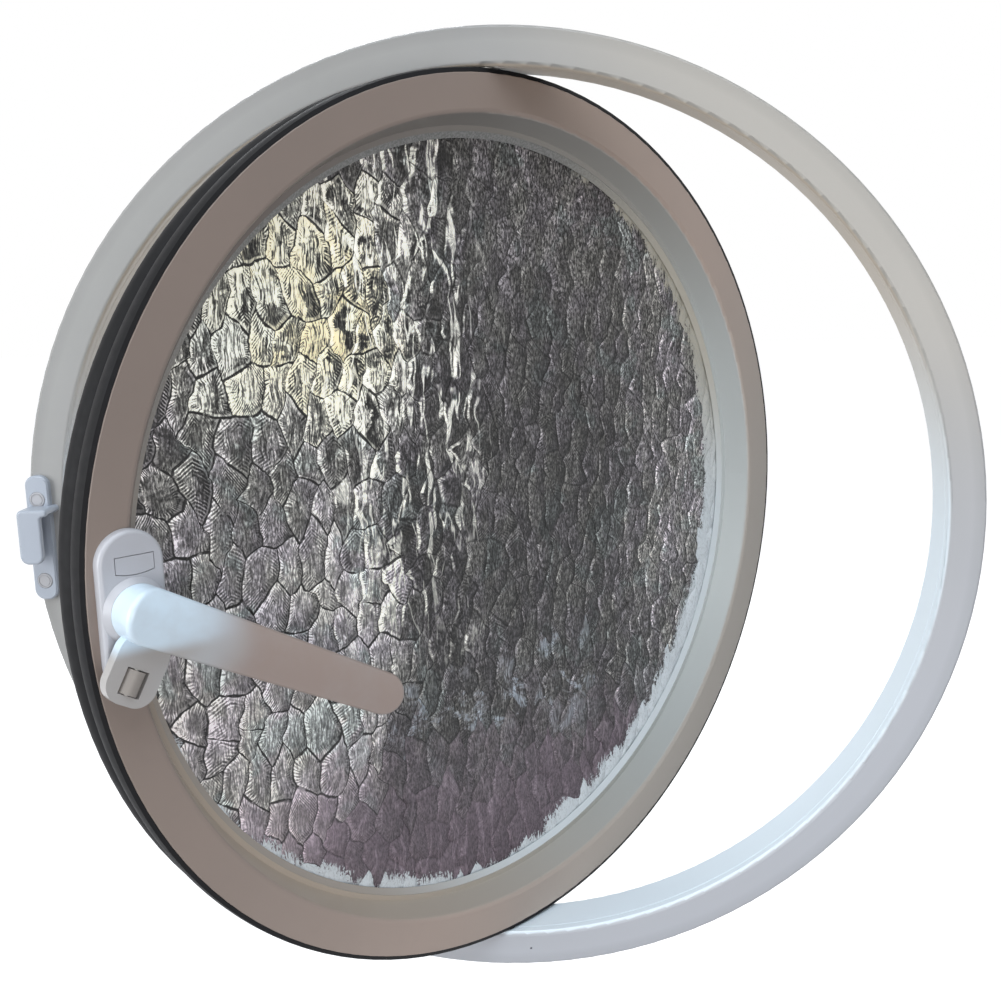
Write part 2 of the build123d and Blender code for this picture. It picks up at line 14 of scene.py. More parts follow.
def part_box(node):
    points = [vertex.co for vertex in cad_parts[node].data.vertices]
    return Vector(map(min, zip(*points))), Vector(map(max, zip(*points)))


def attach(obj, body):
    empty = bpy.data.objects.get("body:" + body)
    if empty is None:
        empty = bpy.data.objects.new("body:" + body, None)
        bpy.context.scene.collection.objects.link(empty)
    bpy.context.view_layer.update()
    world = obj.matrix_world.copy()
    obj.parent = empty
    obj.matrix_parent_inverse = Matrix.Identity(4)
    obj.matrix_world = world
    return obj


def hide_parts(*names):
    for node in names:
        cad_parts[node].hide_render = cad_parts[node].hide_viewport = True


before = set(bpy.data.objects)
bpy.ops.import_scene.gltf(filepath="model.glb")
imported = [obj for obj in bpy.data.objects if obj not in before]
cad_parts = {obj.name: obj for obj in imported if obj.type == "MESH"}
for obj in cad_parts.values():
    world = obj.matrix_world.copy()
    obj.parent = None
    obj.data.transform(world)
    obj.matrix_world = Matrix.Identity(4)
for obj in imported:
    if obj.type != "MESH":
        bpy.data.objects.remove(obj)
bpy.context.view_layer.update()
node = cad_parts

# ---------------------------------------------------------------- camera
# A fixed eye in the room, a little above the ring's centre, looking down and to the left.
# Pan, tilt and roll were fitted to the outlines of the frame, the sash and the hardware.
pan, tilt, roll = radians(-4.18), radians(-11.09), radians(-1.48)
forward = Vector((sin(pan) * cos(tilt), cos(pan) * cos(tilt), sin(tilt)))
level = Vector((cos(pan), -sin(pan), 0))
rise = level.cross(forward)
right = cos(roll) * level + sin(roll) * rise
up = cos(roll) * rise - sin(roll) * level
camera = bpy.data.objects.new("camera", bpy.data.cameras.new("camera"))
turned = Matrix((right, up, -forward)).transposed()
camera.matrix_world = Matrix.Translation((0.04875, -0.6455, 0.1390)) @ turned.to_4x4()
camera.data.lens, camera.data.sensor_width = 44.52, 36.0
camera.data.clip_start = 0.01
bpy.context.collection.objects.link(camera)
bpy.context.scene.camera = camera


# ---------------------------------------------------------------- stage and light
# A pale floor below the window, a world that shows white behind it, and soft lamps.
# The world lights the object at a plain level and is full white only to the eye.
class Sock:
    """One node output with arithmetic, so shader maths reads as sums."""

    def __init__(self, kit, out):
        self.kit, self.out = kit, out

    def _op(self, kind, *others):
        return self.kit.node("ShaderNodeMath", 0, *((self,) + others), operation=kind)

    def __add__(self, other):
        return self._op("ADD", other)

    def __radd__(self, other):
        return self._op("ADD", other)

    def __sub__(self, other):
        return self._op("SUBTRACT", other)

    def __rsub__(self, other):
        return self.kit.node("ShaderNodeMath", 0, other, self, operation="SUBTRACT")

    def __mul__(self, other):
        return self._op("MULTIPLY", other)

    def __rmul__(self, other):
        return self._op("MULTIPLY", other)

    def __truediv__(self, other):
        return self._op("DIVIDE", other)

    def __pow__(self, other):
        return self._op("POWER", other)

    def fn(self, kind, *others):
        return self._op(kind, *others)

    def step(self, low, high, to_low=0.0, to_high=1.0):
        return self.kit.node(
            "ShaderNodeMapRange", 0, self, low, high, to_low, to_high, interpolation_type="SMOOTHSTEP"
        )


class Kit:
    """Makes the nodes of one material or world."""

    def __init__(self, owner):
        owner.use_nodes = True
        self.tree = owner.node_tree
        self.tree.nodes.clear()

    def node(self, kind, pick, *inputs, **settings):
        made = self.tree.nodes.new(kind)
        named = {k[3:]: v for k, v in settings.items() if k.startswith("in_")}
        for key, value in settings.items():
            if not key.startswith("in_"):
                setattr(made, key, value)
        for key, value in list(enumerate(inputs)) + list(named.items()):
            if value is None:
                continue
            place = made.inputs[key if isinstance(key, int) else key.replace("_", " ")]
            if isinstance(value, Sock):
                self.tree.links.new(value.out, place)
            else:
                place.default_value = value
        return Sock(self, made.outputs[pick])

    def finish(self, kind, shader):
        out = self.tree.nodes.new(kind)
        self.tree.links.new(shader.out, out.inputs[0])

    def mix(self, amount, low, high):
        made = self.tree.nodes.new("ShaderNodeMix")
        made.data_type = "RGBA"
        for key, value in ((0, amount), (6, low), (7, high)):
            if isinstance(value, Sock):
                self.tree.links.new(value.out, made.inputs[key])
            else:
                made.inputs[key].default_value = value if key == 0 else (*value, 1)[:4]
        return Sock(self, made.outputs[2])

    def noise(self, where, scale, detail=2.0, rough=0.5, pick=0, warp=0.0):
        return self.node(
            "ShaderNodeTexNoise", pick, in_Vector=where, in_Scale=scale, in_Detail=detail,
            in_Roughness=rough, in_Distortion=warp,
        )

    def xyz(self, x=0.0, y=0.0, z=0.0):
        return self.node("ShaderNodeCombineXYZ", 0, x, y, z)

    def parts(self, vector):
        made = self.tree.nodes.new("ShaderNodeSeparateXYZ")
        self.tree.links.new(vector.out, made.inputs[0])
        return [Sock(self, out) for out in made.outputs]

    def bump(self, height, strength, distance, normal=None):
        return self.node(
            "ShaderNodeBump", 0, in_Strength=strength, in_Distance=distance, in_Height=height,
            in_Normal=normal,
        )


def material(name, build):
    made = bpy.data.materials.new(name)
    kit = Kit(made)
    kit.finish("ShaderNodeOutputMaterial", build(kit))
    return made


def white_for_eye(kit, plain):
    path = kit.tree.nodes.new("ShaderNodeLightPath")
    seen = Sock(kit, path.outputs["Is Camera Ray"])
    for ray in ("Is Glossy Ray", "Is Transmission Ray"):
        seen = seen.fn("MAXIMUM", Sock(kit, path.outputs[ray]))
    light = kit.node("ShaderNodeBackground", 0, (0.90, 0.94, 1.0, 1), plain)
    white = kit.node("ShaderNodeBackground", 0, (1, 1, 1, 1), 1.0)
    return kit.node("ShaderNodeMixShader", 0, seen, light, white)


world = bpy.data.worlds.new("studio")
bpy.context.scene.world = world
world_kit = Kit(world)
world_kit.finish("ShaderNodeOutputWorld", white_for_eye(world_kit, 0.30))
bpy.context.scene.view_settings.view_transform = "Standard"

floor_mesh = bpy.data.meshes.new("floor")
floor_mesh.from_pydata([(-9, -9, -0.55), (9, -9, -0.55), (9, 9, -0.55), (-9, 9, -0.55)], [], [(0, 1, 2, 3)])
floor = bpy.data.objects.new("floor", floor_mesh)
bpy.context.collection.objects.link(floor)


def floor_white(kit):
    path = kit.tree.nodes.new("ShaderNodeLightPath")
    seen = Sock(kit, path.outputs["Is Camera Ray"])
    for ray in ("Is Glossy Ray", "Is Transmission Ray"):
        seen = seen.fn("MAXIMUM", Sock(kit, path.outputs[ray]))
    ground = kit.node("ShaderNodeBsdfDiffuse", 0, (0.30, 0.30, 0.31, 1))
    glow = kit.node("ShaderNodeEmission", 0, (1, 1, 1, 1), 0.93)
    white = kit.node("ShaderNodeAddShader", 0, ground, glow)
    return kit.node("ShaderNodeMixShader", 0, seen, ground, white)


floor_mesh.materials.append(material("floor_white", floor_white))


def lamp(name, place, aim, size, power, colour=(1, 1, 1)):
    made = bpy.data.lights.new(name, "AREA")
    made.shape, made.size, made.energy, made.color = "DISK", size, power, colour
    holder = bpy.data.objects.new(name, made)
    holder.location = place
    holder.rotation_euler = (Vector(aim) - Vector(place)).to_track_quat("-Z", "Y").to_euler()
    bpy.context.collection.objects.link(holder)


lamp("overhead", (0.1, -0.75, 1.8), (0, 0, 0), 2.2, 30, (0.84, 0.92, 1.0))
lamp("room", (0.7, -1.9, -0.3), (0, 0, -0.1), 1.3, 15, (1.0, 0.96, 0.94))
lamp("left", (-1.5, -1.25, 0.3), (0, 0, 0), 1.5, 26, (0.97, 0.99, 1.0))
lamp("outdoors", (-0.35, 2.0, 0.7), (0, 0, 0), 1.3, 40, (0.90, 0.95, 1.0))


def dress(made, *names):
    for name in names:
        for place in node[name].material_slots:
            place.material = made


def local(kit):
    """Object coordinates turned so that x runs along the sash, y out of its face, z up."""
    where = kit.node("ShaderNodeTexCoord", 3)
    return kit.node(
        "ShaderNodeVectorRotate", 0, where, (0, 0, 0), None, radians(-45.8), rotation_type="Z_AXIS"
    )


def tinted(kit, tone, hue):
    """A colour times a tone, as one colour."""
    made = kit.tree.nodes.new("ShaderNodeMix")
    made.data_type, made.blend_type = "RGBA", "MULTIPLY"
    made.inputs[0].default_value = 1.0
    grey = kit.mix(tone, (0.0, 0.0, 0.0), (1.0, 1.0, 1.0))
    kit.tree.links.new(grey.out, made.inputs[6])
    kit.tree.links.new(hue.out, made.inputs[7])
    return Sock(kit, made.outputs[2])


# ---------------------------------------------------------------- painted frame and sash
# Powder coat: a fine orange peel, faint dust in random clouds, and roughness that varies at random. A shade
# function, where one is given, adds painted light and shade by place.
def paint(colour, dust, rough, peel=0.05, shade=None):
    def build(kit):
        where = kit.node("ShaderNodeTexCoord", 3)
        cloud = kit.noise(where, 9.0, 4.0, 0.6)
        grime = kit.noise(where, 60.0, 5.0, 0.65)
        tint = kit.mix(cloud.step(0.35, 0.7) * 0.5 + grime.step(0.55, 0.8) * 0.25, colour, dust)
        fine = kit.noise(where, 1400.0, 2.0, 0.5)
        return kit.node(
            "ShaderNodeBsdfPrincipled", 0, in_Base_Color=tint if shade is None else shade(kit, tint),
            in_Roughness=kit.noise(where, 25.0, 3.0) * 0.16 + (rough - 0.08),
            in_Normal=kit.bump(fine, peel, 0.0004),
        )

    return build


def frame_painted_light(kit, tint):
    """Painted light and shade on the ring: the reveal cold and bright low down, warmer and darker at the top; the
    face lighter and warmer at the upper right, paler and colder low down, and brighter towards its inner edge.
    """
    x, y, z = kit.parts(kit.node("ShaderNodeTexCoord", 3))
    radius = (x * x + z * z).fn("SQRT")
    inside = (1 - radius.step(0.2312, 0.2326)).fn("MAXIMUM", y.step(-0.0128, -0.0112))
    bright = kit.mix(z.step(-0.02, 0.14), (0.84, 0.93, 0.99), (0.62, 0.54, 0.44))
    lit_low_face = (x * 0.5 - z * 0.87).step(0.0, 0.22)
    lit_upper_right = ((x + z) * 0.707).step(0.165, 0.235)
    face = kit.mix(lit_upper_right, tint, (0.44, 0.42, 0.385))
    face = kit.mix(lit_low_face, face, (0.47, 0.485, 0.52))
    face = tinted(kit, radius.step(0.233, 0.249, 1.20, 0.90), face)
    return kit.mix(inside, face, bright)


def sash_painted_light(kit, tint):
    """Painted light and shade on the sash: the face darker to the upper left and paler to the lower right; the
    reveal on the left brown low down and dark higher up, and on the right a pale neutral grey, duller at its top
    and bottom.
    """
    along, _, z = kit.parts(local(kit))
    x = along + 0.00538
    inside = 1 - (x * x + z * z).fn("SQRT").step(0.2085, 0.2098)
    left = kit.mix(z.step(-0.15, 0.10), (0.46, 0.385, 0.31), (0.18, 0.155, 0.14))
    bright = kit.mix(z.step(-0.20, -0.05), (0.34, 0.36, 0.35), (0.56, 0.59, 0.58))
    bright = kit.mix(z.step(0.06, 0.20), bright, (0.41, 0.40, 0.37))
    pale = kit.mix(x.step(-0.15, 0.18), left, bright)
    slope = x * 0.85 - z * 0.53
    face = kit.mix(slope.step(0.05, 0.22), tint, (0.39, 0.355, 0.315))
    face = tinted(kit, slope.step(-0.22, 0.20, 0.62, 1.16), face)
    return kit.mix(inside, face, pale)


def bed_painted_light(kit, tint):
    """Sealant, white silicone with painted light and shade: grey and speckled on top, taupe on the left, cream to
    cold white down the right side.
    """
    along, _, z = kit.parts(local(kit))
    x = along + 0.00538
    speck = kit.noise(kit.node("ShaderNodeTexCoord", 3), 900.0, 3.0, 0.7).step(0.40, 0.6)
    right_side = kit.mix((z + x * 0.3).step(0.03, 0.15), (0.60, 0.65, 0.67), (0.50, 0.47, 0.40))
    left = kit.mix(z.step(0.0, 0.17), (0.36, 0.32, 0.28), kit.mix(speck, (0.17, 0.17, 0.165), (0.27, 0.27, 0.26)))
    return kit.mix((x * 0.94 - z * 0.34).step(-0.03, 0.11), left, right_side)


frame_paint = material(
    "frame_paint", paint((0.345, 0.342, 0.335), (0.305, 0.305, 0.295), 0.40, shade=frame_painted_light)
)
# The sash's base coat is set browner and darker than the frame's: painted shade of the room.
sash_paint = material(
    "sash_paint", paint((0.425, 0.335, 0.285), (0.37, 0.295, 0.255), 0.36, shade=sash_painted_light)
)


def lever_painted_light(kit):
    """White gloss with painted light: a painted cold highlight at the hub, the arm painted a dark pinkish grey
    for its shade, and the short nose a darker beige.
    """
    along, _, high = kit.parts(local(kit))
    aside = along + 0.2148
    reach = (aside * aside + high * high).fn("SQRT")
    arm = reach.step(0.010, 0.052) * aside.step(-0.004, 0.03)
    where = kit.node("ShaderNodeTexCoord", 3)
    smear = kit.noise(where, 30.0, 4.0, 0.6).step(0.4, 0.7)
    tint = kit.mix(arm, (0.70, 0.84, 0.95), (0.345, 0.265, 0.230))
    tint = kit.mix((0 - high).step(0.010, 0.017) * (1 - arm), tint, (0.42, 0.40, 0.385))
    tint = kit.mix(smear * 0.25, tint, (0.40, 0.37, 0.36))
    fine = kit.noise(where, 1400.0, 2.0, 0.5)
    return kit.node(
        "ShaderNodeBsdfPrincipled", 0, in_Base_Color=tint, in_Coat_Weight=0.3,
        in_Roughness=kit.noise(where, 25.0, 3.0) * 0.16 + 0.24, in_Normal=kit.bump(fine, 0.03, 0.0004),
    )


lever_paint = material("lever_paint", lever_painted_light)
# The plate and the keeper wear the lever's white paint; each is given a darker, bluish grey of its own, painted
# shade.
plate_paint = material("plate_paint", paint((0.50, 0.505, 0.54), (0.46, 0.465, 0.49), 0.30, 0.03))
roller_plastic = material("roller_plastic", paint((0.33, 0.30, 0.27), (0.27, 0.24, 0.22), 0.45, 0.03))
keeper_paint = material("keeper_paint", paint((0.41, 0.45, 0.515), (0.36, 0.39, 0.44), 0.30, 0.03))
cap_plastic = material("cap_plastic", paint((0.43, 0.43, 0.45), (0.40, 0.40, 0.42), 0.35, 0.02))
bead_paint = material("bead_paint", paint((0.46, 0.46, 0.47), (0.42, 0.42, 0.43), 0.40))
sealant = material("sealant", paint((0.40, 0.40, 0.39), (0.30, 0.30, 0.29), 0.45, shade=bed_painted_light))
dress(frame_paint, "frame_ring")
dress(sash_paint, "sash_ring")
dress(lever_paint, "lever")
dress(plate_paint, "handle_base", "screw_plug")
dress(roller_plastic, "roller")
dress(keeper_paint, "keeper")
dress(cap_plastic, "keeper_caps")
dress(bead_paint, "glazing_bead")
dress(sealant, "sealant_front", "sealant_rear")


# ---------------------------------------------------------------- rubber and small parts
# Black extruded rubber with long shallow streaks, dark nylon and satin steel.
def rubber(kit):
    where = local(kit)
    streak = kit.noise(where, 220.0, 3.0, 0.6)
    dust = kit.noise(where, 40.0, 4.0, 0.7)
    return kit.node(
        "ShaderNodeBsdfPrincipled", 0,
        in_Base_Color=kit.mix(dust.step(0.5, 0.8) * 0.5, (0.003, 0.003, 0.004), (0.010, 0.010, 0.013)),
        in_Roughness=streak * 0.2 + 0.5, in_Specular_IOR_Level=0.2,
        in_Normal=kit.bump(streak, 0.1, 0.0006),
    )


def steel(kit):
    where = kit.node("ShaderNodeTexCoord", 3)
    grain_and_painted_light = kit.noise(where, 900.0, 3.0, 0.6)
    return kit.node(
        "ShaderNodeBsdfPrincipled", 0, in_Metallic=1.0,
        in_Base_Color=kit.mix(grain_and_painted_light, (0.42, 0.41, 0.39), (0.62, 0.61, 0.59)),
        in_Roughness=grain_and_painted_light * 0.2 + 0.22, in_Normal=kit.bump(grain_and_painted_light, 0.05, 0.0002),
    )


def nylon(kit):
    where = kit.node("ShaderNodeTexCoord", 3)
    grain_and_painted_light = kit.noise(where, 500.0, 3.0, 0.6)
    return kit.node(
        "ShaderNodeBsdfPrincipled", 0,
        in_Base_Color=kit.mix(grain_and_painted_light, (0.02, 0.02, 0.021), (0.04, 0.04, 0.042)),
        in_Roughness=grain_and_painted_light * 0.2 + 0.4, in_Normal=kit.bump(grain_and_painted_light, 0.05, 0.0002),
    )


black_rubber = material("black_rubber", rubber)
satin_steel = material("satin_steel", steel)
dark_nylon = material("dark_nylon", nylon)
dress(black_rubber, "gasket_front", "gasket_rear", "setting_block_left", "setting_block_right")
dress(
    satin_steel, "pivot_screws", "keeper_screws", "pivot_pin_top", "pivot_pin_bottom",
    "handle_screws", "handle_spindle", "roller_pin",
)
dress(
    dark_nylon, "pivot_block_top", "pivot_block_bottom", "pivot_bush_top", "pivot_bush_bottom",
    "friction_washer",
)

# ---------------------------------------------------------------- relief glass
# One cast pane. Its room side is pressed into pebbles taller than wide, with ribs fanned round each pebble's
# edge.
# Its colour is painted light: it gathers the tones of what lies behind it, shifted by each pebble, with painted
# glints and shade.
turn = radians(45.8)
across, roomward = np.array([cos(turn), sin(turn), 0]), np.array([sin(turn), -cos(turn), 0])
pane_low, pane_high = (np.array(corner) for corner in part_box("glass_pane"))
pane_centre = (pane_low + pane_high) / 2
pane_radius = (pane_high[2] - pane_low[2]) / 2
pane_thickness = 0.005
groove_depth = 0.0011
row_pitch, first_width, narrowing = 0.0210, 0.0158, 0.000095
edge_steps = 5
chance = np.random.default_rng(11)


def ripple(x, y, seed, length, count=5):
    """A smooth random field: the mean of a few sine waves of like length, turned about."""
    lots = np.random.default_rng(seed)
    turns, shifts = lots.uniform(0, np.pi, count), lots.uniform(0, 2 * np.pi, count)
    sizes = 2 * np.pi / (length * lots.uniform(0.7, 1.4, count))
    waves = [np.sin(k * (x * np.cos(a) + y * np.sin(a)) + s) for a, s, k in zip(turns, shifts, sizes)]
    return sum(waves) / np.sqrt(count)


def pebble_mesh():
    """Pebbles on a honeycomb with shaken corners. Ring by ring, a point runs from its pebble's
    middle to a point on its outline, and the depth grows with a power of how far it has run."""
    columns, rows = np.arange(-1, 38), np.arange(-12, 13)
    i, j = np.meshgrid(columns, rows)
    place = i + 0.5 * (j % 2)
    x = -pane_radius - 0.006 + first_width * place - narrowing * place**2
    width = first_width - 2 * narrowing * place
    y = j * row_pitch
    shake = chance.uniform(-1, 1, (4,) + x.shape)
    lean = (0.15 + 0.0035 * place) * row_pitch
    tops = np.stack([x + 0.24 * width * shake[0], y + row_pitch / 2 + lean + 0.24 * row_pitch * shake[1]], -1)
    feet = np.stack([x + 0.24 * width * shake[2], y - row_pitch / 2 - lean + 0.24 * row_pitch * shake[3]], -1)
    inner = (slice(1, -1), slice(1, -1))
    jj, ii = np.meshgrid(np.arange(1, len(rows) - 1), np.arange(1, len(columns) - 1), indexing="ij")
    right = ii + j[inner] % 2
    corners = np.stack(
        [
            tops[jj - 1, right], feet[jj + 1, right], tops[jj, ii],
            feet[jj + 1, right - 1], tops[jj - 1, right - 1], feet[jj, ii],
        ],
        2,
    ).reshape(-1, 6, 2)
    middle = corners.mean(1)
    near = np.hypot(*middle.T) < pane_radius + 0.02
    corners, middle = corners[near], middle[near]
    share = (np.arange(edge_steps) / edge_steps)[None, None, :, None]
    outline = corners[:, :, None] * (1 - share) + np.roll(corners, -1, 1)[:, :, None] * share
    outline = outline.reshape(len(corners), -1, 2)
    middle = middle + chance.uniform(-0.0015, 0.0015, middle.shape)
    reach = np.array([0.22, 0.45, 0.66, 0.83, 0.94, 1.0])
    ring = middle[:, None, None] + (outline - middle[:, None])[:, None] * reach[None, :, None, None]
    points = np.concatenate([middle[:, None], ring.reshape(len(middle), -1, 2)], 1)
    run = np.concatenate([[0.0], np.repeat(reach, outline.shape[1])])[None]

    bent = np.empty_like(points)
    for axis, seed in ((0, 21), (1, 31)):
        bent[..., axis] = points[..., axis] + 0.0028 * ripple(points[..., 0], points[..., 1], seed, 0.075)
        bent[..., axis] += 0.0010 * ripple(points[..., 0], points[..., 1], seed + 1, 0.016)
        bent[..., axis] += 0.0003 * ripple(points[..., 0], points[..., 1], seed + 2, 0.0055)
    rim_depth = groove_depth * (0.8 + 0.2 * ripple(bent[..., 0], bent[..., 1], 41, 0.03))
    swell = chance.uniform(0.0, 0.35, (len(middle), 1)) * groove_depth
    depth = rim_depth * run**3.2 + swell * (1 - run**2)
    depth += 0.00010 * ripple(bent[..., 0], bent[..., 1], 51, 0.0065) * (1 - run**4)
    depth = np.clip(depth + 0.00012, 0, None)
    away = bent - bent[:, :1]
    rest = np.hypot(bent[..., 0], bent[..., 1])
    outside = rest > pane_radius - 1e-5
    bent = bent * np.where(outside, (pane_radius - 1e-5) / rest, 1.0)[..., None]
    depth = np.where(outside, 0.0004, depth)

    around = outline.shape[1]
    step = np.arange(around)
    following = (step + 1) % around
    first = np.stack([np.zeros_like(step), 1 + step, 1 + following], 1)
    bands = [
        np.stack([1 + b * around + step, 1 + (b + 1) * around + step,
                  1 + (b + 1) * around + following, 1 + b * around + following], 1)
        for b in range(len(reach) - 1)
    ]
    lengths = np.hypot(*np.moveaxis(np.roll(outline, -1, 1) - outline, -1, 0))
    arc = np.concatenate([np.zeros((len(middle), 1)), np.cumsum(lengths, 1)], 1)
    stride = points.shape[1]
    start = (np.arange(len(middle)) * stride)[:, None, None]
    fans = (first[None] + start).reshape(-1, 3)
    quads = (np.concatenate(bands)[None] + start).reshape(-1, 4)
    hidden = outside.reshape(-1)
    fans, quads = fans[~hidden[fans].all(1)], quads[~hidden[quads].all(1)]

    def corner_arc(faces, columns_from, columns_to):
        """Each face corner's distance round its pebble, without the jump where the outline closes."""
        local_index = faces % stride
        ahead = (local_index - 1) % around
        owner = faces // stride
        value = arc[owner, ahead]
        closing = (ahead == 0) & (ahead[:, [columns_from]] == around - 1)
        return np.where(closing & columns_to, arc[owner, around], value)

    fan_arc = corner_arc(fans, 1, np.array([False, False, True]))
    fan_arc[:, 0] = (fan_arc[:, 1] + fan_arc[:, 2]) / 2
    quad_arc = corner_arc(quads, 0, np.array([False, False, True, True]))
    flat_run = np.broadcast_to(run, depth.shape).reshape(-1)
    pick = chance.uniform(0, 1, (len(middle), 3))

    shape = bpy.data.meshes.new("relief_pane")
    flat = bent.reshape(-1, 2)
    front = pane_centre + roomward * (pane_thickness / 2)
    spots = front + flat[:, :1] * across + flat[:, 1:] * np.array([0, 0, 1.0])
    spots = spots - depth.reshape(-1, 1) * roomward
    shape.from_pydata(spots.tolist(), [], fans.tolist() + quads.tolist())
    loops = np.concatenate([fans.reshape(-1), quads.reshape(-1)])
    arcs = np.concatenate([fan_arc.reshape(-1), quad_arc.reshape(-1)]) * 1000
    for name, values in (
        ("pebble_edge", np.stack([arcs, flat_run[loops]], 1)),
        ("pebble_offset", away.reshape(-1, 2)[loops] * 1000),
    ):
        layer = shape.uv_layers.new(name=name, do_init=False)
        layer.uv.foreach_set("vector", values.astype(np.float32).reshape(-1))
    lot = shape.attributes.new("pebble_pick", "FLOAT_VECTOR", "CORNER")
    lot.data.foreach_set("vector", pick[loops // stride].astype(np.float32).reshape(-1))
    return shape


def closed_behind(shape, back):
    """The front skin welded, with a wall and a flat back from its outer edge."""
    work = bmesh.new()
    work.from_mesh(shape)
    bmesh.ops.remove_doubles(work, verts=work.verts, dist=2e-6)
    bmesh.ops.dissolve_degenerate(work, edges=work.edges, dist=1e-6)
    rim = [edge for edge in work.edges if edge.is_boundary]
    wall = bmesh.ops.extrude_edge_only(work, edges=rim)["geom"]
    moved = [item for item in wall if isinstance(item, bmesh.types.BMVert)]
    spots = np.array([vert.co for vert in moved])
    bmesh.ops.translate(work, verts=moved, vec=Vector((0, 0, 0)))
    shift = (spots - back) @ roomward
    for vert, amount in zip(moved, shift):
        vert.co -= Vector(roomward) * amount
    bmesh.ops.contextual_create(work, geom=[e for e in wall if isinstance(e, bmesh.types.BMEdge)])
    bmesh.ops.recalc_face_normals(work, faces=work.faces)
    work.to_mesh(shape)
    work.free()

pane_shape = pebble_mesh()
closed_behind(pane_shape, pane_centre - roomward * (pane_thickness / 2))
pane = bpy.data.objects.new("relief_pane", pane_shape)
bpy.context.collection.objects.link(pane)
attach(pane, "sash")
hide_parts("glass_pane")


